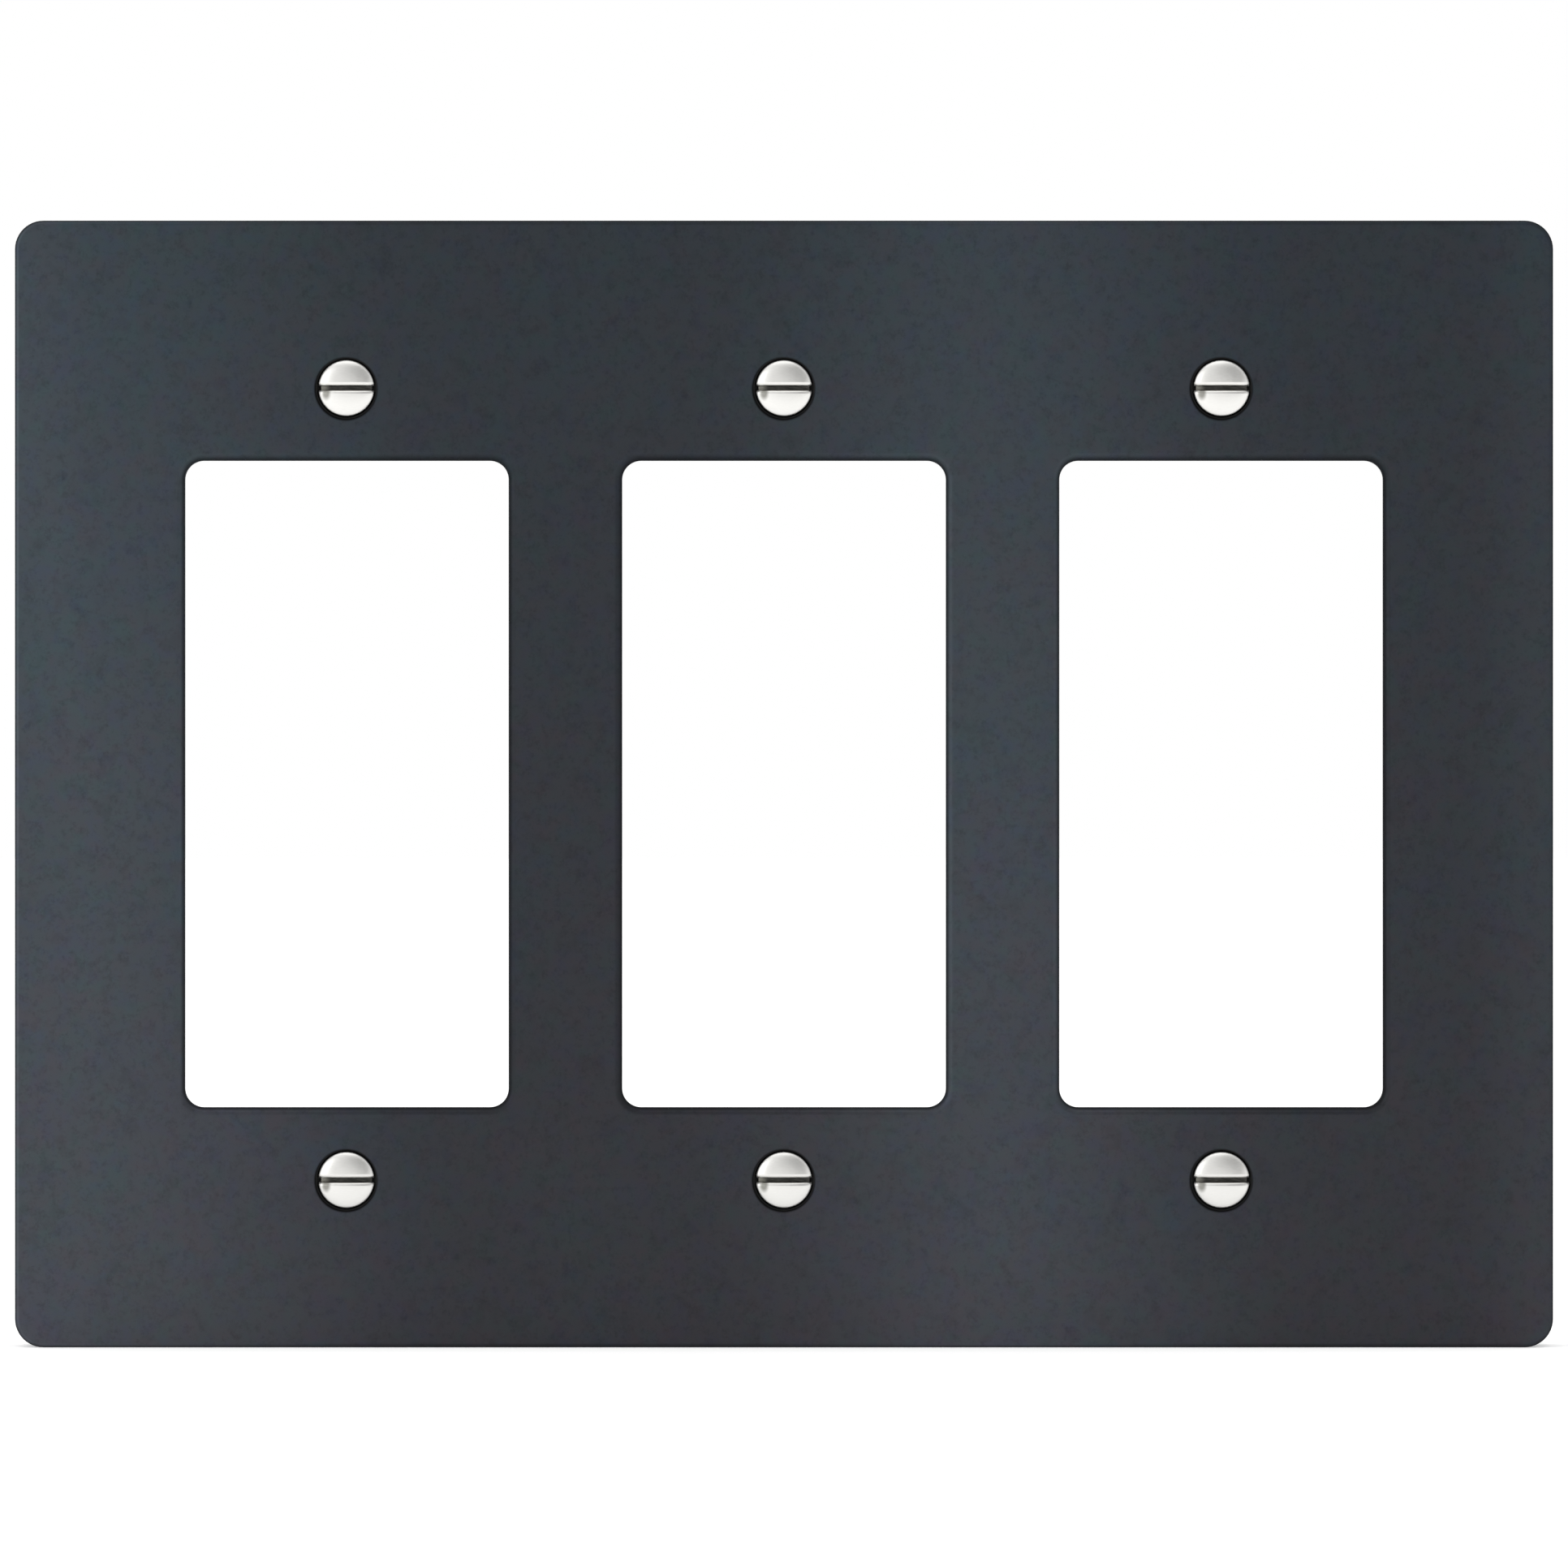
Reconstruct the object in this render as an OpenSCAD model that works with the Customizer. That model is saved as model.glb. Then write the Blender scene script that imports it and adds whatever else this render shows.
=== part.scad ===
// Three-gang decorator wall plate with six captive oval-head screws.
// Units are millimetres. Pieces are drawn lying down, with their front face at z = 0 and
// everything behind it at negative z. stand_up() then turns the face towards -Y with +Z up
// and moves it forward, so the wall plane is Y = 0 and the origin is its middle.

/* [Plate] */
// Overall width
plate_w = 161.9; // [158:0.1:170]
// Overall height
plate_h = 118.6; // [112:0.1:126]
// Depth from the wall to the front face
plate_d = 6.0; // [5.6:0.1:7]
// Thickness of the pressed sheet
sheet_t = 1.0; // [0.9:0.1:1.1]
// Corner radius seen from the front
corner_r = 3.0; // [2.6:0.1:6]
// Radius of the bend round the front edge
edge_r = 0.5; // [0.3:0.1:0.7]
// Radius inside the bend
bend_r = 0.5; // [0.3:0.1:0.6]

/* [Device openings] */
// Width of each opening
opening_w = 34.1; // [33.3:0.1:34.6]
// Height of each opening
opening_h = 68.1; // [66.8:0.1:69]
// Distance between the middles of neighbouring openings
gang_pitch = 46.04; // [45.5:0.01:46.5]
// Corner radius of each opening
opening_r = 2.0; // [1.5:0.1:3]
// Radius of the sheet rolled in round each opening
lip_r = 0.8; // [0.5:0.1:0.9]
// Thickness of the rolled lip
lip_t = 0.8; // [0.7:0.1:0.9]
// How far the lip reaches behind the front face
lip_d = 1.8; // [1.5:0.1:2.5]

/* [Screw dimples] */
// Vertical distance between the two rows of screws
screw_rows = 83.3; // [83:0.1:97]
// Mouth radius of each countersink
mouth_r = 3.15; // [3.1:0.01:3.3]
// Radius of the clearance hole
hole_r = 1.9; // [1.85:0.01:2]
// How far the dimple reaches behind the front face
dimple_d = 1.8; // [1.7:0.05:2]

/* [Screws] */
// Radius of the head at its edge
head_r = 3.0; // [2.9:0.01:3]
// Height of the oval crown above the head's edge
crown_h = 0.85; // [0.6:0.05:1]
// How far the head's edge sits below the front face
head_sink = 0.1; // [0.1:0.05:0.2]
// Length from the head's edge to the tip
screw_l = 12.7; // [11:0.1:16]
// Radius of the plain neck that the retainer rides on
neck_r = 1.5; // [1.4:0.01:1.55]
// Outside radius of the thread, as a plain cylinder
thread_r = 1.7525; // [1.7:0.0005:1.8]
// Width of the driver slot
slot_w = 0.62; // [0.5:0.02:0.8]
// Width of the slot across its chamfered mouth
slot_mouth = 1.0; // [0.9:0.02:1.2]
// Depth of the slot below the top of the crown
slot_d = 1.2; // [1:0.05:1.3]

/* [Retainers] */
// Outside radius of each retainer
retainer_r = 3.5; // [3.2:0.1:4]
// Thickness of each retainer
retainer_t = 0.8; // [0.6:0.05:1]
// Running clearance between the retainer and the screw's neck
retainer_gap = 0.04; // [0.03:0.01:0.06]
// Width of the four slits that let it spring over the thread
slit_w = 0.4; // [0.3:0.05:0.5]
// How far a screw can be backed out before its retainer meets the plate
travel = 1.9; // [1.85:0.05:2]

/* [Hidden] */
// Where the screws and retainers stand, as gang and row
RIGHT = 1;
LEFT = -1;
MIDDLE = 0;
TOP = 1;
BOTTOM = -1;

// Half of the 82 degree countersink
cone_a = 41;
// Rounding between the front face and a countersink
mouth_fillet = 0.15;
// Wall left round a countersink, measured across
dimple_wall = 1.0;
// How far neighbouring pieces of the sheet run into each other
lap = 0.2;
// Radius inside the root of a lip
lip_root_r = 0.3;
// Height of the tapered ends of the thread
tip_chamfer = 0.4;
thread_lead = 0.2;
// Steps in each quarter of a small bend and in the crown
bend_steps = 6;
crown_steps = 14;
// Squareness of the crown's outline, where 2 is an ellipse
crown_power = 2.2;
// Gap between a retainer and the start of the thread
seat_gap = 0.05;
// Share of a retainer's width that its slits cross
slit_share = 0.55;
// How far cutting shapes stand out of the solid they cut
cut = 1;

// Heights, measured from the front face
back_z = -sheet_t;
wall_z = -plate_d;
lip_z = -lip_d;
dimple_z = -dimple_d;
head_z = -head_sink;
crown_z = head_z + crown_h;
neck_z = head_z - (head_r - neck_r) / tan(cone_a);
tip_z = head_z - screw_l;
retainer_top = dimple_z - travel;
retainer_z = retainer_top - retainer_t;
thread_z = retainer_z - seat_gap;

// How far the lips and dimples reach before the flat sheet begins
lip_reach = max(lip_r, lip_t + lip_root_r);
dimple_reach = hole_r + dimple_wall + (back_z - dimple_z) * tan(cone_a) + lap;

screw_colour = [0.78, 0.78, 0.77];
nylon_colour = [0.86, 0.85, 0.80];
plate_colour = [0.25, 0.27, 0.30];

$fn = 64;

// Points on an arc about (cx, cy), from angle a0 to angle a1, its two ends included
function arc(cx, cy, r, a0, a1, n = bend_steps) = [
    for (i = [0 : n])
        let (a = a0 + (a1 - a0) * i / n)
        [cx + r * cos(a), cy + r * sin(a)]
];

// The same points without the two ends, where a section states those exactly
function bend(cx, cy, r, a0, a1, n = bend_steps) = [
    for (i = [1 : n - 1])
        arc(cx, cy, r, a0, a1, n)[i]
];

// Outline of a rectangle with rounded corners, middle at the origin
function rounded_box(w, h, r) = concat(
    arc(w / 2 - r, h / 2 - r, r, 0, 90),
    arc(r - w / 2, h / 2 - r, r, 90, 180),
    arc(r - w / 2, r - h / 2, r, 180, 270),
    arc(w / 2 - r, r - h / 2, r, 270, 360)
);

// A point on the crown's outline, at angle a up from the head's edge
function crown_point(a) = [
    head_r * pow(cos(a), 2 / crown_power),
    head_z + crown_h * pow(sin(a), 2 / crown_power)
];

// Turns a piece drawn lying down so that its face looks towards -Y, plate_d from the wall
module stand_up() {
    translate([0, -plate_d, 0])
        rotate([90, 0, 0])
            children();
}

// Sweeps a profile round a rectangle with rounded corners.
// The profile's x is the distance from a corner's centre and its y is the height.
module sweep_round(w, h, r) {
    cx = w / 2 - r;
    cy = h / 2 - r;
    for (side = [0, 1]) {
        turn = side * 180;
        rotate([0, 0, turn]) {
            translate([cx, cy, 0])
                rotate([90, 0, 0])
                    linear_extrude(height = 2 * cy)
                        children();
            translate([-cx, cy, 0])
                rotate([90, 0, 90])
                    linear_extrude(height = 2 * cx)
                        children();
            translate([cx, cy, 0])
                rotate_extrude(angle = 90)
                    children();
            translate([-cx, cy, 0])
                rotate([0, 0, 90])
                    rotate_extrude(angle = 90)
                        children();
        }
    }
}

// Section through the plate's outer wall, from the wall plane up to the bent front edge
module rim_section() {
    outer = corner_r;
    inner = corner_r - sheet_t;
    far = inner - bend_r - lap;
    polygon(concat(
        [[inner, wall_z], [outer, wall_z], [outer, -edge_r]],
        bend(outer - edge_r, -edge_r, edge_r, 0, 90),
        [[outer - edge_r, 0], [far, 0], [far, back_z], [inner - bend_r, back_z]],
        bend(inner - bend_r, back_z - bend_r, bend_r, 90, 0),
        [[inner, back_z - bend_r]]
    ));
}

// Section through the lip rolled in round a device opening
module lip_section() {
    inner = opening_r;
    outer = opening_r + lip_t;
    root = outer + lip_root_r;
    far = opening_r + lip_reach + lap;
    polygon(concat(
        [[inner, lip_z], [inner, -lip_r]],
        bend(inner + lip_r, -lip_r, lip_r, 180, 90),
        [[inner + lip_r, 0], [far, 0], [far, back_z], [root, back_z]],
        bend(root, back_z - lip_root_r, lip_root_r, 90, 180),
        [[outer, back_z - lip_root_r], [outer, lip_z]]
    ));
}

// Half section through a countersunk dimple
module dimple_section() {
    round_x = mouth_r + mouth_fillet * tan((90 - cone_a) / 2);
    cone_z = (hole_r - mouth_r) / tan(cone_a);
    polygon(concat(
        [
            [hole_r, dimple_z],
            [hole_r, cone_z],
            [round_x - mouth_fillet * cos(cone_a), mouth_fillet * (sin(cone_a) - 1)]
        ],
        bend(round_x, -mouth_fillet, mouth_fillet, 180 - cone_a, 90, 3),
        [
            [round_x, 0],
            [dimple_reach + lap, 0],
            [dimple_reach + lap, back_z],
            [dimple_reach - lap, back_z],
            [hole_r + dimple_wall, dimple_z]
        ]
    ));
}

// The flat sheet between the bent edges, the lips and the dimples
module flat_sheet() {
    inset = sheet_t + bend_r + lap / 2;
    grow = lip_reach + lap / 2;
    translate([0, 0, back_z])
        linear_extrude(height = sheet_t)
            difference() {
                square([plate_w - 2 * inset, plate_h - 2 * inset], center = true);
                for (gang = [LEFT, MIDDLE, RIGHT])
                    translate([gang * gang_pitch, 0])
                        polygon(rounded_box(
                            opening_w + 2 * grow, opening_h + 2 * grow, opening_r + grow
                        ));
                for (gang = [LEFT, MIDDLE, RIGHT])
                    for (row = [TOP, BOTTOM])
                        translate([gang * gang_pitch, row * screw_rows / 2])
                            circle(r = dimple_reach);
            }
}

// The pressed plate: flat sheet, outer wall, lips and dimples in one piece of metal
module wall_plate() {
    color(plate_colour)
        stand_up()
            union() {
                flat_sheet();
                sweep_round(plate_w, plate_h, corner_r)
                    rim_section();
                for (gang = [LEFT, MIDDLE, RIGHT])
                    translate([gang * gang_pitch, 0, 0])
                        sweep_round(opening_w, opening_h, opening_r)
                            lip_section();
                for (gang = [LEFT, MIDDLE, RIGHT])
                    for (row = [TOP, BOTTOM])
                        translate([gang * gang_pitch, row * screw_rows / 2, 0])
                            rotate_extrude()
                                dimple_section();
            }
}

// Half section through a screw: crown, cone, neck and thread
module screw_section() {
    crown = [for (i = [0 : crown_steps - 1]) crown_point(90 * i / crown_steps)];
    polygon(concat(
        [
            [0, tip_z],
            [thread_r - tip_chamfer, tip_z],
            [thread_r, tip_z + tip_chamfer],
            [thread_r, thread_z - thread_lead],
            [neck_r, thread_z],
            [neck_r, neck_z]
        ],
        crown,
        [[0, crown_z]]
    ));
}

// The driver slot, cut level across the head
module driver_slot() {
    half = slot_w / 2;
    mouth = slot_mouth / 2;
    chamfer = mouth - half;
    rotate([90, 0, 90])
        linear_extrude(height = 2 * (head_r + cut), center = true)
            polygon([
                [-half, crown_z - slot_d],
                [half, crown_z - slot_d],
                [half, crown_z - chamfer],
                [mouth, crown_z],
                [mouth, crown_z + cut],
                [-mouth, crown_z + cut],
                [-mouth, crown_z],
                [-half, crown_z - chamfer]
            ]);
}

// One oval-head plate screw
module screw(gang, row) {
    color(screw_colour)
        stand_up()
            translate([gang * gang_pitch, row * screw_rows / 2, 0])
                difference() {
                    rotate_extrude()
                        screw_section();
                    driver_slot();
                }
}

// One nylon retainer, slit four ways so that it springs over the thread
module retainer(gang, row) {
    bore_r = neck_r + retainer_gap;
    slit_end = bore_r + slit_share * (retainer_r - bore_r);
    color(nylon_colour)
        stand_up()
            translate([gang * gang_pitch, row * screw_rows / 2, retainer_z])
                difference() {
                    cylinder(r = retainer_r, h = retainer_t);
                    translate([0, 0, -cut])
                        cylinder(r = bore_r, h = retainer_t + 2 * cut);
                    for (quarter = [0 : 3])
                        rotate([0, 0, 45 + 90 * quarter])
                            translate([0, -slit_w / 2, -cut])
                                cube([slit_end, slit_w, retainer_t + 2 * cut]);
                }
}

wall_plate();
screw(LEFT, TOP);  // screw_top_left
screw(MIDDLE, TOP);  // screw_top_middle
screw(RIGHT, TOP);  // screw_top_right
screw(LEFT, BOTTOM);  // screw_bottom_left
screw(MIDDLE, BOTTOM);  // screw_bottom_middle
screw(RIGHT, BOTTOM);  // screw_bottom_right
retainer(LEFT, TOP);  // retainer_top_left
retainer(MIDDLE, TOP);  // retainer_top_middle
retainer(RIGHT, TOP);  // retainer_top_right
retainer(LEFT, BOTTOM);  // retainer_bottom_left
retainer(MIDDLE, BOTTOM);  // retainer_bottom_middle
retainer(RIGHT, BOTTOM);  // retainer_bottom_right
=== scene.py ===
"""A three-gang wall plate in a slate finish, with six slotted oval-head screws and their retainers.

Every size is in metres, in the CAD frame: X across, Z up, and the front face looks towards -Y.
A depth is measured from the front face towards the wall.
"""

import math

import bmesh
import bpy
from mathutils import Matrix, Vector


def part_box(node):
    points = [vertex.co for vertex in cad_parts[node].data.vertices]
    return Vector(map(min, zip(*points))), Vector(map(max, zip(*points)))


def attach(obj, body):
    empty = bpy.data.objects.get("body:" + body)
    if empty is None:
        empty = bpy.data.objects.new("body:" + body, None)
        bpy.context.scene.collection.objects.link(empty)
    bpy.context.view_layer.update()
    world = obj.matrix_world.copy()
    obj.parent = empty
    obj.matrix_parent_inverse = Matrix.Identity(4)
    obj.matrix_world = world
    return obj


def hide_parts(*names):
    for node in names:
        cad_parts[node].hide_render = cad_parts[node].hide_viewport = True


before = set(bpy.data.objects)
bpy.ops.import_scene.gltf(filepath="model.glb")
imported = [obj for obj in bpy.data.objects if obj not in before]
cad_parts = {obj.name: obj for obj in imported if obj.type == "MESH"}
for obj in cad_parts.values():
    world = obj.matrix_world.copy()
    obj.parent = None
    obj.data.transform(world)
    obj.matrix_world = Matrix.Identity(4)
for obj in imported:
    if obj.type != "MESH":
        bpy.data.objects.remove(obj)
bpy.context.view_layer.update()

MM = 0.001

# ---- The plate's sizes -------------------------------------------------------------------------

PLATE_LO, PLATE_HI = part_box("wall_plate")
PLATE_W = PLATE_HI.x - PLATE_LO.x
PLATE_H = PLATE_HI.z - PLATE_LO.z
PLATE_D = PLATE_HI.y - PLATE_LO.y
FACE_Y = PLATE_LO.y

SHEET = 1.0 * MM
CORNER_R = 3.0 * MM
EDGE_R = 0.5 * MM
BEND_R = 0.5 * MM
BURR_R = 0.12 * MM      # rounding left on cut and pressed edges
ROOT_R = 0.3 * MM       # at the root of a lip or a dimple, on the back

OPENING_W = 34.1 * MM
OPENING_H = 68.1 * MM
OPENING_R = 2.0 * MM
LIP_R = 0.8 * MM
LIP_T = 0.8 * MM
LIP_D = 1.8 * MM

CONE = math.radians(41)
MOUTH_R = 3.15 * MM
MOUTH_FILLET = 0.15 * MM
HOLE_R = 1.9 * MM
DIMPLE_D = 1.8 * MM
DIMPLE_WALL = 1.0 * MM
PAD_R = HOLE_R + DIMPLE_WALL                            # the dimple's flat end, on the back
FOOT_R = PAD_R + (DIMPLE_D - SHEET) * math.tan(CONE)    # where the dimple meets the sheet's back

BEND_STEPS = 8          # quads round each bend
CORNER_STEPS = 12       # quads round each rounded corner of an outline
ROUND_STEPS = 96        # quads round a dimple or a screw
MARGIN = 0.6 * MM       # flat strip of quads kept beside each bend

# ---- The screws' and retainers' sizes ----------------------------------------------------------

SCREW_LO, SCREW_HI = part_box("screw_top_left")
HEAD_R = (SCREW_HI.x - SCREW_LO.x) / 2
HEAD_SINK = 0.1 * MM    # depth of the head's edge
CROWN_H = FACE_Y - SCREW_LO.y + HEAD_SINK
CROWN_POWER = 2.2       # 2 would make the crown's outline an ellipse, and more makes it fuller
CROWN_STEPS = 20
TIP_D = SCREW_HI.y - FACE_Y
NECK_R = 1.5 * MM
NECK_FILLET = 0.15 * MM

SLOT_W = 0.44 * MM
SLOT_MOUTH = 1.2 * MM   # width over the slot's rounded shoulders
SLOT_D = 1.2 * MM
SLOT_FLOOR_R = 0.05 * MM
SLOT_STEPS = 24         # quads along half of the slot

RETAINER_LO, RETAINER_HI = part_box("retainer_top_left")
RETAINER_R = (RETAINER_HI.x - RETAINER_LO.x) / 2
RETAINER_T = RETAINER_HI.y - RETAINER_LO.y
RETAINER_BORE = 1.54 * MM
RETAINER_EDGE = 0.07 * MM
RETAINER_STEPS = 64
SLIT_W = 0.4 * MM
SLIT_SHARE = 0.55       # share of the retainer's width, from bore to edge, that a slit crosses

THREAD_R = 1.7525 * MM
PITCH = 25.4 * MM / 32
THREAD_DEPTH = 0.6134 * PITCH
CREST_FLAT = 7 / 32     # flat on the crest, as a share of the pitch
ROOT_FLAT = 5 / 32      # flat in the root, as a share of the pitch
THREAD_LEAD = 0.2 * MM  # over which the thread rises from the neck
TIP_CHAMFER = 0.4 * MM
THREAD_GAP = 0.05 * MM  # between the retainer and the thread
THREAD_D = RETAINER_HI.y - FACE_Y + THREAD_GAP
THREAD_L = TIP_D - THREAD_D
TURN_ROWS = 14          # quads along one turn of the thread

# ---- The gangs and rows ------------------------------------------------------------------------

GANGS = {"left": -1, "middle": 0, "right": 1}
ROWS = {"top": 1, "bottom": -1}
GANG_PITCH = -(SCREW_LO.x + SCREW_HI.x) / 2
ROW_Z = (SCREW_LO.z + SCREW_HI.z) / 2
STATIONS = {
    f"{row}_{gang}": (GANGS[gang] * GANG_PITCH, ROWS[row] * ROW_Z)
    for row in ROWS for gang in GANGS
}

# ---- Outlines and meshes -----------------------------------------------------------------------


def filleted(corners, steps=BEND_STEPS):
    """Rounds each (x, y, radius) corner of an open outline. A radius of 0 keeps the corner."""
    outline = []
    for i, (x, y, radius) in enumerate(corners):
        corner = Vector((x, y))
        if radius == 0:
            outline.append(corner)
            continue
        back = (Vector(corners[i - 1][:2]) - corner).normalized()
        ahead = (Vector(corners[i + 1][:2]) - corner).normalized()
        half = back.angle(ahead) / 2
        centre = corner + (back + ahead).normalized() * radius / math.sin(half)
        start = corner + back * radius / math.tan(half) - centre
        end = corner + ahead * radius / math.tan(half) - centre
        turn = math.atan2(start.x * end.y - start.y * end.x, start.dot(end))
        for k in range(steps + 1):
            angle = turn * k / steps
            outline.append(centre + Vector((
                start.x * math.cos(angle) - start.y * math.sin(angle),
                start.x * math.sin(angle) + start.y * math.cos(angle),
            )))
    return outline


def rounded_rectangle(width, height, radius, grow):
    """Points round a rectangle whose edge has moved outwards by grow, with its corners' centres kept."""
    points = []
    for quarter, (sx, sz) in enumerate([(1, 1), (-1, 1), (-1, -1), (1, -1)]):
        cx = sx * (width / 2 - radius)
        cz = sz * (height / 2 - radius)
        for k in range(CORNER_STEPS + 1):
            angle = math.pi / 2 * (quarter + k / CORNER_STEPS)
            points.append(Vector((
                cx + (radius + grow) * math.cos(angle),
                cz + (radius + grow) * math.sin(angle),
            )))
    return points


def circle(radius, steps=ROUND_STEPS):
    return [
        Vector((radius * math.cos(math.tau * k / steps), radius * math.sin(math.tau * k / steps)))
        for k in range(steps)
    ]


def bridge(mesh, rings, material=0):
    """Joins each ring of vertices to the next with quads."""
    for a, b in zip(rings, rings[1:]):
        for k in range(len(a)):
            n = (k + 1) % len(a)
            mesh.faces.new((a[k], a[n], b[n], b[k])).material_index = material


def cap(mesh, rings):
    """Closes both ends of a run of rings."""
    for ring in (rings[0], rings[-1]):
        mesh.faces.new(ring)


def fill(mesh, rings, material=0):
    """Fills the flat region that the rings bound."""
    edges = [mesh.edges.get((r[k - 1], r[k])) for r in rings for k in range(len(r))]
    made = bmesh.ops.triangle_fill(mesh, use_beauty=True, edges=edges)
    for face in made["geom"]:
        if isinstance(face, bmesh.types.BMFace):
            face.material_index = material


def finished(mesh, name, materials):
    """Turns a bmesh into a smooth-shaded object with outward normals."""
    bmesh.ops.recalc_face_normals(mesh, faces=mesh.faces)
    data = bpy.data.meshes.new(name)
    mesh.to_mesh(data)
    mesh.free()
    for material in materials:
        data.materials.append(material)
    data.shade_smooth()
    piece = bpy.data.objects.new(name, data)
    bpy.context.scene.collection.objects.link(piece)
    return piece


def modify(piece, kind, **settings):
    modifier = piece.modifiers.new(kind.lower(), kind)
    for key, value in settings.items():
        setattr(modifier, key, value)


def weight_normals(piece, **settings):
    """Lets the large faces decide the shading normals, so that flat faces look flat."""
    modify(piece, "WEIGHTED_NORMAL", mode="FACE_AREA", weight=50, **settings)


def bake_modifiers(piece):
    """Replaces a piece's mesh with what its modifiers make of it."""
    graph = bpy.context.evaluated_depsgraph_get()
    made = bpy.data.meshes.new_from_object(piece.evaluated_get(graph), depsgraph=graph)
    piece.modifiers.clear()
    piece.data = made


def copies(blank, prefix, y):
    """Stands a copy of a blank at each station and hands it over, then removes the blank."""
    for name, (x, z) in STATIONS.items():
        piece = bpy.data.objects.new(f"{prefix}_{name}", blank.data)
        bpy.context.scene.collection.objects.link(piece)
        piece.location = (x, y, z)
        yield name, piece
    bpy.data.objects.remove(blank)


# ---- Shading -----------------------------------------------------------------------------------

NOISE_LOW = 0.3         # nearly all of a noise's values lie between these
NOISE_HIGH = 0.7


def light(*srgb):
    """An 8-bit screen colour as the linear colour that the shaders take."""
    return [((c / 255 + 0.055) / 1.055) ** 2.4 if c > 10 else c / 255 / 12.92 for c in srgb] + [1.0]


def grey(value):
    return (value, value, value, 1.0)


def greys(*stops):
    """Stops of a ramp, from (position, value) pairs."""
    return [(at, grey(value)) for at, value in stops]


class Shading:
    """A material's node tree, with short ways to add the nodes used here."""

    def __init__(self, name, **constants):
        self.material = bpy.data.materials.new(name)
        self.material.use_nodes = True
        self.tree = self.material.node_tree
        self.shader = self.tree.nodes["Principled BSDF"]
        for socket, value in constants.items():
            self.shader.inputs[socket.replace("_", " ")].default_value = value

    def add(self, kind, inputs=(), output=0, **settings):
        made = self.tree.nodes.new(kind)
        for key, value in settings.items():
            setattr(made, key, value)
        for key, value in dict(inputs).items():
            self.plug(value, made.inputs[key])
        return made.outputs[output]

    def plug(self, value, socket):
        """Links an output to a socket, or sets the socket to a plain value."""
        if isinstance(value, bpy.types.NodeSocket):
            self.tree.links.new(value, socket)
        else:
            socket.default_value = value

    def place(self):
        return self.add("ShaderNodeTexCoord", output="Object")

    def part(self, vector, axis):
        return self.add("ShaderNodeSeparateXYZ", {0: vector}, output=axis)

    def maths(self, operation, a, b=0.0, third=0.0):
        return self.add("ShaderNodeMath", {0: a, 1: b, 2: third}, operation=operation)

    def plus(self, a, b):
        return self.maths("ADD", a, b)

    def minus(self, a, b):
        return self.maths("SUBTRACT", a, b)

    def product(self, a, b):
        return self.maths("MULTIPLY", a, b)

    def hypotenuse(self, a, b):
        return self.maths("SQRT", self.plus(self.product(a, a), self.product(b, b)))

    def span(self, value, low, high, to_low=0.0, to_high=1.0, smooth=False):
        """Carries low to to_low and high to to_high, and holds the value beyond them."""
        kind = "SMOOTHSTEP" if smooth else "LINEAR"
        inputs = {
            "Value": value,
            "From Min": low, "From Max": high,
            "To Min": to_low, "To Max": to_high,
        }
        return self.add("ShaderNodeMapRange", inputs, interpolation_type=kind)

    def swing(self, noise, low, high):
        """Spreads a noise's usual values from low to high."""
        return self.span(noise, NOISE_LOW, NOISE_HIGH, low, high)

    def vector(self, operation, a, b=(0.0, 0.0, 0.0), output=0):
        return self.add("ShaderNodeVectorMath", {0: a, 1: b}, output=output, operation=operation)

    def stretched(self, vector, x=1.0, z=1.0):
        return self.add("ShaderNodeMapping", {"Vector": vector, "Scale": (x, 1.0, z)})

    def noise(self, vector, size, detail=4.0, rough=0.5, warp=0.0):
        inputs = {
            "Vector": vector, "Scale": 1 / size,
            "Detail": detail, "Roughness": rough, "Distortion": warp,
        }
        return self.add("ShaderNodeTexNoise", inputs)

    def ramp(self, value, stops, smooth=True):
        made = self.tree.nodes.new("ShaderNodeValToRGB")
        made.color_ramp.interpolation = "B_SPLINE" if smooth else "LINEAR"
        elements = made.color_ramp.elements
        for element, (at, _) in zip(elements, stops):
            element.position = at
        for at, _ in stops[2:]:
            elements.new(at)
        for element, (_, colour) in zip(elements, stops):
            element.color = colour
        self.plug(value, made.inputs["Fac"])
        return made.outputs["Color"]

    def mix(self, share, a, b, blend="MIX"):
        made = self.tree.nodes.new("ShaderNodeMix")
        made.data_type = "RGBA"
        made.blend_type = blend
        self.plug(share, made.inputs["Factor"])
        self.plug(a, made.inputs["A"])
        self.plug(b, made.inputs["B"])
        return made.outputs["Result"]

    def tinted(self, colour, tint):
        return self.mix(1.0, colour, tint, "MULTIPLY")

    def bump(self, height, distance, over=None):
        inputs = {"Height": height, "Distance": distance}
        if over is not None:
            inputs["Normal"] = over
        return self.add("ShaderNodeBump", inputs)

    def finish(self, **links):
        for socket, value in links.items():
            self.plug(value, self.shader.inputs[socket.replace("_", " ")])
        return self.material


# ---- The front's finish ------------------------------------------------------------------------

SLATE = light(53, 55, 59)
# The slate lightened by a painted sheen at full strength.
SHEEN_SLATE = light(69, 74, 79)
DUST = light(150, 156, 160)
# The near-black of the painted shadows round the screw heads.
HEAD_SHADOW = grey(0.003)
WARMER = (1.06, 0.99, 0.99, 1.0)        # tint at the bottom of the plate
COOLER = (0.94, 1.04, 1.06, 1.0)        # tint at the top

SWAY_SIZE = 45 * MM                     # the painted sheen's side and band stray from straight
SWAY = 3 * MM
SIDE_FADE = 50 * MM                     # reach of the painted sheen down the left side
BAND_X = 22 * MM                        # middle of the painted sheen's band
BAND_REACH = 34 * MM
BAND_SHEEN = 0.8
END_FADE = 10 * MM                      # reach of the painted sheen's strip at both ends
END_SHEEN = 0.3
TOP_SHEEN = 0.6                      # share of the painted sheen left at the top of the plate
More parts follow.
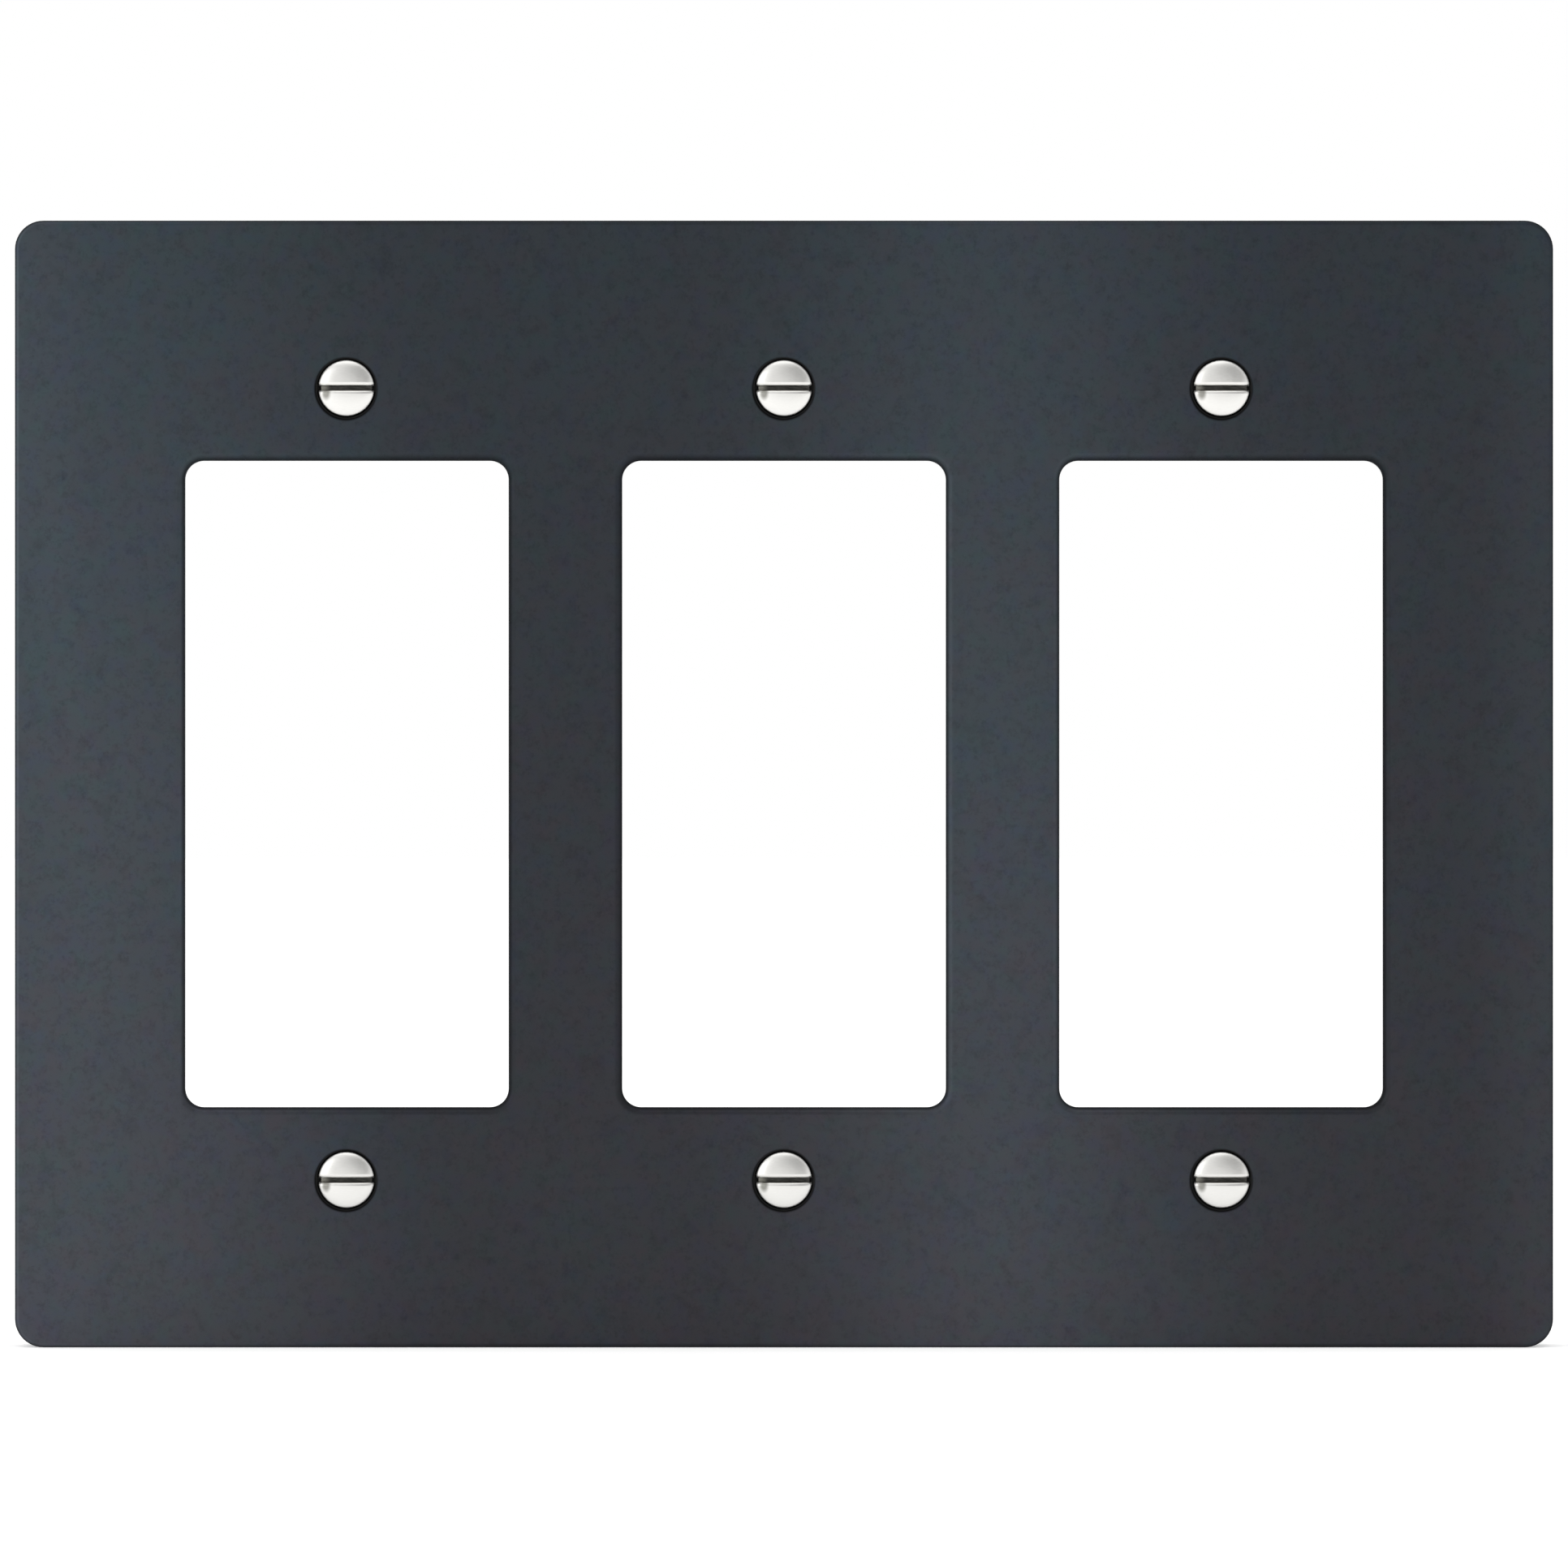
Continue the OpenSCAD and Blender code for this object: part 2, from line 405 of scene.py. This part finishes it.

# Interference colours: the size of each cloud's noise, and its tint.
CLOUDS = [
    (14 * MM, (0.96, 1.02, 1.01, 1.0)),
    (11 * MM, (0.99, 0.99, 1.04, 1.0)),
    (12 * MM, (1.03, 0.99, 1.00, 1.0)),
    (2.6 * MM, (0.93, 1.06, 1.01, 1.0)),
    (2.2 * MM, (0.97, 0.97, 1.09, 1.0)),
    (2.4 * MM, (1.07, 0.97, 0.98, 1.0)),
]
CLOUD_X = 0.37                          # steps between the clouds, so that no two noises agree
CLOUD_Z = 0.23

GRAIN = 0.7 * MM
MOTTLE = 1.8 * MM
PATCHES = 9 * MM                        # of rougher and smoother metal
BEND_SHADE_UNEVENNESS = 6 * MM                           # of the unevenness of the painted shade on the bends
SPECKS = 19 * MM                        # from one speck of dust to the next
SPECKLESS = 0.8                         # share of the places for a speck that have none

SHADOW_LEFT = 0.05 * MM                  # how far the painted shadow lies to a head's left, and below it
SHADOW_BELOW = 0.09 * MM
SHADOW_R = MOUTH_R + 0.05 * MM
SHADOW_FADE = MOUTH_R + 0.32 * MM


def painted_sheen(s, place, up):
    """Painted sheen: paler down the left side, in one soft band and at both ends, less so towards the top.
    """
    x = s.part(place, "X")
    across = s.plus(x, s.swing(s.noise(place, SWAY_SIZE, detail=2.0), -SWAY, SWAY))
    side = s.span(across, -PLATE_W / 2, SIDE_FADE - PLATE_W / 2, 1.0, 0.0, smooth=True)
    off_band = s.maths("ABSOLUTE", s.minus(across, BAND_X))
    band = s.span(off_band, 0.0, BAND_REACH, BAND_SHEEN, 0.0, smooth=True)
    off_middle = s.maths("ABSOLUTE", x)
    ends = s.span(off_middle, PLATE_W / 2 - END_FADE, PLATE_W / 2, 0.0, END_SHEEN, smooth=True)
    return s.product(s.plus(s.plus(side, band), ends), s.span(up, 0.5, 1.0, 1.0, TOP_SHEEN))


def clouded(s, place, colour):
    """Tints a colour with each cloud, where the cloud's own noise runs high."""
    for number, (size, tint) in enumerate(CLOUDS):
        spot = s.vector("ADD", place, (number * CLOUD_X, 0.0, number * CLOUD_Z))
        share = s.span(s.noise(spot, size, rough=0.6, warp=0.4), 0.48, 0.66)
        colour = s.mix(share, colour, s.tinted(colour, tint))
    return colour


def painted_bend_shade(s, place, colour, sheen_share, edge):
    """Painted shade darkens the bends towards their turn. Where the painted sheen lies, their shoulders get
    a painted highlight.
    """
    # Painted shade on the bends, darkest at their turn.
    dark = s.ramp(edge, greys((0.00, 1.00), (0.20, 0.82), (0.40, 0.65), (0.65, 0.40)), smooth=False)
    # A painted highlight on the shoulders, where the painted sheen lies.
    painted_highlight = s.ramp(edge, greys((0.00, 1.00), (0.20, 1.25), (0.40, 1.00), (0.65, 0.40)), smooth=False)
    bent = s.mix(sheen_share, dark, painted_highlight)
    # The bends that face left or down get a little more painted shade.
    normal = s.add("ShaderNodeNewGeometry", output="Normal")
    facing = s.maths("MINIMUM", s.part(normal, "X"), s.part(normal, "Z"))
    bent = s.mix(s.span(facing, 0.0, -0.4, 0.0, 0.15), bent, grey(0.0))
    # The painted shade and highlight vary a little along the bends.
    shade_unevenness = s.span(s.noise(place, BEND_SHADE_UNEVENNESS, detail=5.0, rough=0.65), 0.35, 0.65, 0.8, 1.0)
    return s.mix(shade_unevenness, colour, s.tinted(colour, bent))


def painted_head_shadows(s, place, colour):
    """Painted shadow round the screw heads, a little heavier below them and to their left."""
    across = s.maths("WRAP", s.part(place, "X"), GANG_PITCH / 2, third=-GANG_PITCH / 2)
    up = s.maths("WRAP", s.minus(s.part(place, "Z"), ROW_Z), ROW_Z, third=-ROW_Z)
    away = s.hypotenuse(s.plus(across, SHADOW_LEFT), s.plus(up, SHADOW_BELOW))
    return s.mix(s.span(away, SHADOW_FADE, SHADOW_R, smooth=True), colour, HEAD_SHADOW)


def dusty(s, place, colour):
    """A few pale specks of dust caught in the finish."""
    distance = s.add("ShaderNodeTexVoronoi", {"Vector": place, "Scale": 1 / SPECKS})
    draw = s.part(distance.node.outputs["Color"], "X")
    chosen = s.span(draw, SPECKLESS, SPECKLESS + 0.01)
    speck = s.span(distance, 0.012, 0.005)
    return s.mix(s.product(s.product(speck, chosen), 0.25), colour, DUST)


def slate_finish():
    """The front's satin slate finish: clouded, with a painted sheen, painted shade and highlights on the
    bends, and painted shadows round the screws.
    """
    s = Shading("slate_finish", Metallic=0.75, IOR=1.40, Specular_Tint=grey(0.35))
    place = s.place()
    up = s.span(s.part(place, "Z"), -PLATE_H / 2, PLATE_H / 2)
    sheen_share = painted_sheen(s, place, up)
    # A painted sheen lightens the slate towards its paler colour.
    colour = s.mix(sheen_share, SLATE, SHEEN_SLATE)
    colour = s.tinted(colour, s.ramp(up, [(0.0, WARMER), (1.0, COOLER)], smooth=False))
    colour = clouded(s, place, colour)

    grain = s.noise(place, GRAIN, detail=5.0, rough=0.75)
    mottle = s.noise(place, MOTTLE, rough=0.65)
    colour = s.tinted(colour, s.ramp(grain, greys((0.25, 0.64), (0.75, 1.36))))
    colour = s.tinted(colour, s.ramp(mottle, greys((0.25, 0.80), (0.75, 1.20))))

    edge = s.add("ShaderNodeAttribute", output="Fac", attribute_name="edge")
    colour = painted_bend_shade(s, place, colour, sheen_share, edge)
    colour = painted_head_shadows(s, place, colour)
    colour = dusty(s, place, colour)

    patches = s.noise(place, PATCHES, rough=0.55)
    rough = s.plus(s.swing(patches, 0.38, 0.46), s.swing(grain, -0.03, 0.03))
    rough = s.plus(rough, s.span(edge, 0.4, 0.7, 0.0, 0.25))
    height = s.plus(s.product(grain, 0.6), mottle)
    return s.finish(Base_Color=colour, Roughness=rough, Normal=s.bump(height, 0.004 * MM))


# ---- The other finishes ------------------------------------------------------------------------


def shaded_countersink():
    """Inside the dimples: painted shade, almost black, far darker than the slate finish itself."""
    s = Shading("shaded_countersink", Metallic=0.6)
    flecks = s.noise(s.place(), 0.4 * MM, detail=5.0, rough=0.65)
    return s.finish(
        # Painted shade: nearly black, with faint flecks.
        Base_Color=s.ramp(flecks, greys((0.3, 0.002), (0.7, 0.006))),
        Roughness=s.swing(flecks, 0.55, 0.75),
        Normal=s.bump(flecks, 0.004 * MM),
    )


def rolled_back():
    """The inside of the pressing: overspray on bare rolled steel, with drawing lines and handling marks."""
    s = Shading("rolled_back", Metallic=0.85)
    place = s.place()
    lines = s.noise(s.stretched(place, x=0.015), 0.30 * MM, detail=3.0, rough=0.6)
    marks = s.noise(place, 24 * MM, rough=0.55, warp=0.3)
    spray = s.noise(place, 0.45 * MM, rough=0.7)
    colour = s.ramp(marks, [(0.30, light(84, 87, 91)), (0.70, light(104, 107, 110))])
    colour = s.tinted(colour, s.ramp(lines, greys((0.3, 0.80), (0.7, 1.20))))
    misted = s.product(s.span(spray, 0.42, 0.62), s.span(marks, 0.65, 0.35, 0.2, 0.7))
    colour = s.mix(misted, colour, light(66, 69, 74))
    rough = s.plus(s.swing(marks, 0.50, 0.38), s.swing(lines, -0.05, 0.05))
    rough = s.plus(rough, s.product(misted, 0.15))
    scored = s.bump(lines, 0.006 * MM)
    return s.finish(Base_Color=colour, Roughness=rough, Normal=s.bump(spray, 0.003 * MM, over=scored))


RING_SIZE = 0.05 * MM                   # of the turning marks on a head
RIM_SHADE_R = HEAD_R - 0.11 * MM          # where the painted shade on the rim starts
BLACK_R = HEAD_R - 0.01 * MM            # where it is full
RIM_SHADE_D = HEAD_SINK + 0.1 * MM        # how deep it is full, and how deep it reaches at all
RIM_SHADE_END = HEAD_SINK + 0.3 * MM
SLIP_MARK = (-2.1 * MM, -0.45 * MM, -0.55 * MM)     # where a driver slipped, from the head's middle
SLIP_R = 0.65 * MM
SLIP_CORE = 0.20 * MM
SLIP_LONG = 1.5                         # how much longer than wide the slipped driver's mark is


def bright_nickel():
    """Satin nickel on a turned head: fine rings and scuffs, a slipped driver's mark and a rim darkened with
    painted shade.
    """
    s = Shading("bright_nickel", Metallic=1.0)
    place = s.place()
    reach = s.hypotenuse(s.part(place, "X"), s.part(place, "Z"))
    along = {"W": s.product(reach, 1 / RING_SIZE), "Scale": 1.0}
    rings = s.add("ShaderNodeTexNoise", along, noise_dimensions="1D")
    scuffs = s.noise(s.stretched(place, z=4.0), 0.5 * MM, detail=5.0, rough=0.65, warp=0.5)
    colour = s.ramp(scuffs, [(0.3, light(224, 223, 219)), (0.7, light(231, 230, 227))])

    # Painted shade, nearly black, round the rim of the head.
    ragged = s.plus(reach, s.swing(scuffs, -0.03 * MM, 0.03 * MM))
    rim_shade = s.span(ragged, RIM_SHADE_R, BLACK_R, smooth=True)
    on_head = s.span(s.part(place, "Y"), RIM_SHADE_END, RIM_SHADE_D)
    colour = s.mix(s.product(rim_shade, on_head), colour, grey(0.015))

    off_mark = s.stretched(s.vector("SUBTRACT", place, SLIP_MARK), z=1 / SLIP_LONG)
    slip = s.vector("LENGTH", off_mark, output=1)
    colour = s.mix(s.span(slip, SLIP_R, SLIP_CORE, 0.0, 0.85, smooth=True), colour, light(122, 121, 114))

    rough = s.plus(s.span(scuffs, 0.35, 0.7, 0.30, 0.38), s.swing(rings, -0.01, 0.02))
    fine = s.bump(rings, 0.0005 * MM)
    return s.finish(Base_Color=colour, Roughness=rough, Normal=s.bump(scuffs, 0.0008 * MM, over=fine))


def slot_shade():
    """The floor and walls of a driver slot: painted shade, dark and streaked, with the left end polished by
    blades.
    """
    s = Shading("slot_shade", Metallic=0.8)
    place = s.place()
    streaks = s.noise(s.stretched(place, x=0.15), 0.12 * MM, rough=0.6)
    # Painted shade: the slot's walls and floor darker than the bare metal, in streaks.
    colour = s.ramp(streaks, [
        (0.35, light(60, 60, 57)),
        (0.62, light(84, 83, 79)),
        (0.80, light(120, 118, 113)),
    ])
    polished = s.span(s.part(place, "X"), -1.6 * MM, -2.4 * MM, 0.0, 0.8, smooth=True)
    return s.finish(
        Base_Color=s.mix(polished, colour, light(160, 158, 150)),
        Roughness=s.swing(streaks, 0.65, 0.45),
        Normal=s.bump(streaks, 0.006 * MM),
    )


def milky_nylon():
    """Natural nylon: milky, waxy and slightly mottled."""
    s = Shading("milky_nylon", Subsurface_Weight=0.35, Subsurface_Scale=0.8 * MM, IOR=1.53)
    place = s.place()
    haze = s.noise(place, 1.6 * MM, rough=0.6)
    skin = s.noise(place, 0.18 * MM, rough=0.6)
    return s.finish(
        Base_Color=s.ramp(haze, [(0.3, light(208, 203, 187)), (0.7, light(228, 224, 210))]),
        Roughness=s.swing(skin, 0.34, 0.48),
        Normal=s.bump(skin, 0.008 * MM),
    )


# ---- The plate ---------------------------------------------------------------------------------

FRONT, BACK, PIT = range(3)     # the plate's material slots

# Sections through the pressed sheet, as (growth of the outline, depth, radius) corners that run
# from the front face round to the back. A dimple's outline grows from a point.
RIM = [
    (-EDGE_R - MARGIN, 0, 0),
    (0, 0, EDGE_R),
    (0, EDGE_R + MARGIN, 0),
    (0, PLATE_D, BURR_R),
    (-SHEET, PLATE_D, BURR_R),
    (-SHEET, SHEET, BEND_R),
    (-SHEET - BEND_R - MARGIN, SHEET, 0),
]
LIP = [
    (LIP_R + MARGIN, 0, 0),
    (0, 0, LIP_R),
    (0, LIP_D, BURR_R),
    (LIP_T, LIP_D, BURR_R),
    (LIP_T, SHEET, ROOT_R),
    (LIP_T + ROOT_R + MARGIN, SHEET, 0),
]
DIMPLE = [
    (MOUTH_R + MARGIN, 0, 0),
    (MOUTH_R, 0, MOUTH_FILLET),
    (HOLE_R, (MOUTH_R - HOLE_R) / math.tan(CONE), 0),
    (HOLE_R, DIMPLE_D, BURR_R / 2),
    (PAD_R, DIMPLE_D, BURR_R),
    (FOOT_R, SHEET, ROOT_R),
    (FOOT_R + MARGIN, SHEET, 0),
]


def plate_outline(grow):
    return rounded_rectangle(PLATE_W, PLATE_H, CORNER_R, grow)


def opening_outline(grow):
    return rounded_rectangle(OPENING_W, OPENING_H, OPENING_R, grow)


def wall_plate():
    """The pressed sheet as one closed mesh: rim, lips, dimples, and the flat faces between them."""
    mesh = bmesh.new()
    edge = mesh.verts.layers.float.new("edge")      # how far the front has turned towards the back
    faces, backs = [], []

    def press(outline, section, x=0, z=0, lining=FRONT):
        """Carries an outline about (x, z) through a section."""
        points = filleted(section)
        rings = [
            [mesh.verts.new((x + p.x, FACE_Y + step.y, z + p.y)) for p in outline(step.x)]
            for step in points
        ]
        deepest = max(range(len(points)), key=lambda k: points[k].y)
        bridge(mesh, rings[:2], FRONT)
        bridge(mesh, rings[1:deepest + 1], lining)
        bridge(mesh, rings[deepest:], BACK)
        for k in range(BEND_STEPS + 1):
            for vertex in rings[k + 1]:
                vertex[edge] = k / BEND_STEPS
        faces.append(rings[0])
        backs.append(rings[-1])

    press(plate_outline, RIM)
    for gang in GANGS.values():
        press(opening_outline, LIP, x=gang * GANG_PITCH)
    for x, z in STATIONS.values():
        press(circle, DIMPLE, x, z, PIT)
    fill(mesh, faces, FRONT)
    fill(mesh, backs, BACK)
    piece = finished(mesh, "plate_pressing", [slate_finish(), rolled_back(), shaded_countersink()])
    weight_normals(piece)
    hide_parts("wall_plate")
    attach(piece, "plate")


# ---- The screws --------------------------------------------------------------------------------

HEAD_METAL, SLOT_FLOOR = range(2)       # a screw's material slots
SHARP = math.radians(38)                # edges turning more than this keep a crease

CUT_TOP = -3 * MM                       # the slot cutter starts well in front of the head
CUT_OVERRUN = 1.1                       # its half length, as a share of the head's radius
CUT_SINK = 0.01 * MM                    # keeps the shoulders' start under the crown's surface
CUT_CLEAR = 0.001 * MM                  # keeps the shoulders' arc off the slot's wall


def crown_depth(radius):
    """The depth of the crown's surface at a distance from the screw's axis, negative in front."""
    share = min(radius / HEAD_R, 1.0)
    return HEAD_SINK - CROWN_H * (1 - share ** CROWN_POWER) ** (1 / CROWN_POWER)


def thread_radius(run, turn):
    """The thread's radius at a distance along it and a turn, from 0 to 1, about its axis."""
    lead = min(run / THREAD_LEAD, 1.0)
    crest = min(NECK_R + (THREAD_R - NECK_R) * lead, THREAD_R - TIP_CHAMFER + THREAD_L - run)
    off_root = abs((run / PITCH + turn) % 1.0 - 0.5)
    flank = (1 - CREST_FLAT - ROOT_FLAT) / 2
    groove = min(max(((1 - CREST_FLAT) / 2 - off_root) / flank, 0.0), 1.0)
    return crest - min(THREAD_DEPTH * groove * lead, max(crest - THREAD_R + THREAD_DEPTH, 0.0))


def screw_mesh():
    """One screw about its own axis: oval crown, cone, plain neck and a rolled thread."""
    mesh = bmesh.new()
    turns = [k / ROUND_STEPS for k in range(ROUND_STEPS)]

    def ring(depth, radii):
        return [
            mesh.verts.new((radius * math.cos(math.tau * turn), depth, radius * math.sin(math.tau * turn)))
            for radius, turn in zip(radii, turns)
        ]

    crown = [
        HEAD_R * math.cos(math.pi / 2 * k / CROWN_STEPS) ** (2 / CROWN_POWER)
        for k in range(CROWN_STEPS - 1, -1, -1)
    ]
    neck_d = HEAD_SINK + (HEAD_R - NECK_R) / math.tan(CONE)
    shank = [(HEAD_R, HEAD_SINK, 0), (NECK_R, neck_d, NECK_FILLET), (NECK_R, THREAD_D, 0)]
    profile = [Vector((radius, crown_depth(radius))) for radius in crown]
    profile += filleted(shank, 4)[1:]
    rings = [ring(p.y, [p.x] * ROUND_STEPS) for p in profile]

    rows = round(THREAD_L / PITCH * TURN_ROWS)
    for row in range(1, rows + 1):
        run = THREAD_L * row / rows
        rings.append(ring(THREAD_D + run, [thread_radius(run, turn) for turn in turns]))
    bridge(mesh, rings, HEAD_METAL)
    cap(mesh, rings)
    return mesh


def slot_cutter():
    """A solid that cuts the driver slot, its rounded shoulders following the crown."""
    mesh = bmesh.new()
    half = SLOT_W / 2
    mouth = SLOT_MOUTH / 2
    floor_d = HEAD_SINK - CROWN_H + SLOT_D
    rings = []
    for k in range(-SLOT_STEPS, SLOT_STEPS + 1):
        x = HEAD_R * CUT_OVERRUN * k / SLOT_STEPS
        top = crown_depth(math.hypot(x, mouth)) + CUT_SINK
        side = filleted([
            (mouth, CUT_TOP, 0),
            (mouth, top, 0),
            (half, top, mouth - half - CUT_CLEAR),
            (half, floor_d, SLOT_FLOOR_R),
            (0, floor_d, 0),
        ], 5)
        section = side + [Vector((-p.x, p.y)) for p in reversed(side[:-1])]
        rings.append([mesh.verts.new((x, p.y, p.x)) for p in section])
    bridge(mesh, rings, HEAD_METAL)
    cap(mesh, rings)
    for face in mesh.faces:
        if abs(face.calc_center_median().z) < half * 1.02:
            face.material_index = SLOT_FLOOR
    return mesh


def screws():
    """Six screws from one mesh, each riding on its own body."""
    materials = [bright_nickel(), slot_shade()]
    blank = finished(screw_mesh(), "screw_blank", materials)
    cutter = finished(slot_cutter(), "slot_cutter", materials)
    modify(blank, "BOOLEAN", object=cutter, operation="DIFFERENCE", solver="EXACT")
    bake_modifiers(blank)
    blank.data.set_sharp_from_angle(angle=SHARP)
    weight_normals(blank, keep_sharp=True)
    bake_modifiers(blank)
    bpy.data.objects.remove(cutter)
    for name, piece in copies(blank, "oval_screw", FACE_Y):
        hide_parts(f"screw_{name}")
        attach(piece, f"{name}_screw")


# ---- The retainers -----------------------------------------------------------------------------

SLITS = 4
SLIT_END_STEPS = 6
BORE_STEPS = 12         # quads round the bore between two slits


def slit_bore():
    """Points round a retainer's bore, running out round the end of each slit and back."""
    slit_end = RETAINER_BORE + SLIT_SHARE * (RETAINER_R - RETAINER_BORE)
    spread = math.asin(SLIT_W / 2 / RETAINER_BORE)
    points = []
    for number in range(SLITS):
        middle = math.tau / SLITS * (number + 0.5)
        out = Vector((math.cos(middle), math.sin(middle)))
        side = Vector((-out.y, out.x)) * SLIT_W / 2
        for k in range(SLIT_END_STEPS + 1):
            angle = math.pi * (k / SLIT_END_STEPS - 0.5)
            reach = slit_end - SLIT_W / 2 + SLIT_W / 2 * math.cos(angle)
            points.append(out * reach + side * math.sin(angle))
        for k in range(BORE_STEPS + 1):
            angle = middle + spread + (math.tau / SLITS - 2 * spread) * k / BORE_STEPS
            points.append(Vector((math.cos(angle), math.sin(angle))) * RETAINER_BORE)
    return points


def retainer_mesh():
    """One washer about its own axis, its front at 0, with slits running out from its bore."""
    mesh = bmesh.new()
    outlines = (circle(RETAINER_R, RETAINER_STEPS), slit_bore())
    front, back = [
        [[mesh.verts.new((p.x, y, p.y)) for p in outline] for outline in outlines]
        for y in (0, RETAINER_T)
    ]
    for rings in zip(front, back):
        bridge(mesh, rings)
    fill(mesh, front)
    fill(mesh, back)
    return mesh


def retainers():
    """Six retainers from one mesh, each riding on its own body."""
    blank = finished(retainer_mesh(), "retainer_blank", [milky_nylon()])
    sharp = {"limit_method": "ANGLE", "angle_limit": math.radians(40)}
    modify(blank, "BEVEL", width=RETAINER_EDGE, segments=3, **sharp)
    weight_normals(blank)
    bake_modifiers(blank)
    for name, piece in copies(blank, "nylon_retainer", RETAINER_LO.y):
        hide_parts(f"retainer_{name}")
        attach(piece, f"{name}_retainer")


# ---- The studio --------------------------------------------------------------------------------

FLOOR_HALF = 6.0
FLOOR_GLOW = 0.38               # lifts the pale floor to nearly white

# Soft lights that aim at the plate's middle: place, width and height, and watts.
SOFTBOXES = {
    "key_left": ((-1.1, -0.8, 0.35), (1.1, 1.1), 4.2),
    "fill_right": ((1.2, -0.9, 0.0), (0.8, 1.0), 1.0),
    "top": ((-0.2, -0.3, 1.4), (1.4, 1.0), 3.0),
}

ROOM = 0.88                     # brightness of the white room
DIM_CORNER = (0.46, -0.80, 0.40)
DIM_ROOM = ROOM * 0.45          # brightness in the middle of the dim corner
DIM_EDGE = 0.78                 # the corner's edge and middle, as cosines of the angle from it
DIM_MIDDLE = 0.99

LENS = 200.0                    # millimetres, like the sensor's width
SENSOR_W = 36.0
SIDE_MARGIN = 1.53 * MM         # seen beside the plate, left and right


def floor():
    mesh = bmesh.new()
    h = FLOOR_HALF
    corners = [(-h, -h), (h, -h), (h, h), (-h, h)]
    mesh.faces.new([mesh.verts.new((x, y, PLATE_LO.z)) for x, y in corners])
    glow = {"Emission_Color": grey(1.0), "Emission_Strength": FLOOR_GLOW}
    s = Shading("pale_floor", Roughness=0.9, Specular_IOR_Level=0.0, **glow)
    tone = s.ramp(s.noise(s.place(), 0.4, detail=2.0), greys((0.3, 0.90), (0.7, 0.92)))
    piece = finished(mesh, "floor", [s.finish(Base_Color=tone)])


def softbox(name, place, size, watts):
    data = bpy.data.lights.new(name, "AREA")
    data.shape = "RECTANGLE"
    data.size, data.size_y = size
    data.energy = watts
    lamp = bpy.data.objects.new(name, data)
    lamp.location = place
    lamp.rotation_euler = (-Vector(place)).to_track_quat("-Z", "Y").to_euler()
    lamp.visible_camera = False
    bpy.context.scene.collection.objects.link(lamp)


def surroundings():
    """A white room with one dimmer corner, high on the right behind the camera."""
    world = bpy.data.worlds.new("studio")
    world.use_nodes = True
    bpy.context.scene.world = world
    nodes, links = world.node_tree.nodes, world.node_tree.links

    facing = nodes.new("ShaderNodeVectorMath")
    facing.operation = "DOT_PRODUCT"
    facing.inputs[1].default_value = Vector(DIM_CORNER).normalized()
    links.new(nodes.new("ShaderNodeTexCoord").outputs["Generated"], facing.inputs[0])
    dimming = nodes.new("ShaderNodeMapRange")
    dimming.interpolation_type = "SMOOTHSTEP"
    dimming.inputs["From Min"].default_value = DIM_EDGE
    dimming.inputs["From Max"].default_value = DIM_MIDDLE
    dimming.inputs["To Min"].default_value = ROOM
    dimming.inputs["To Max"].default_value = DIM_ROOM
    links.new(facing.outputs["Value"], dimming.inputs["Value"])
    # The camera itself sees plain white behind the object.
    strength = nodes.new("ShaderNodeMix")
    links.new(nodes.new("ShaderNodeLightPath").outputs["Is Camera Ray"], strength.inputs["Factor"])
    links.new(dimming.outputs["Result"], strength.inputs["A"])
    strength.inputs["B"].default_value = 1.0
    links.new(strength.outputs["Result"], nodes["Background"].inputs["Strength"])
    nodes["Background"].inputs["Color"].default_value = grey(1.0)


def camera():
    """Square on to the plate through a long lens, with the plate across nearly the whole frame."""
    data = bpy.data.cameras.new("camera")
    data.lens = LENS
    data.sensor_width = SENSOR_W
    data.clip_start = 0.01
    data.clip_end = 50.0
    seen = PLATE_W + 2 * SIDE_MARGIN
    view = bpy.data.objects.new("camera", data)
    view.location = (0, FACE_Y - seen * LENS / SENSOR_W, 0)
    view.rotation_euler = (math.radians(90), 0, 0)
    bpy.context.scene.collection.objects.link(view)
    bpy.context.scene.camera = view


def studio():
    floor()
    for name, (place, size, watts) in SOFTBOXES.items():
        softbox(name, place, size, watts)
    surroundings()
    camera()
    bpy.context.scene.view_settings.view_transform = "Standard"


wall_plate()
screws()
retainers()
studio()
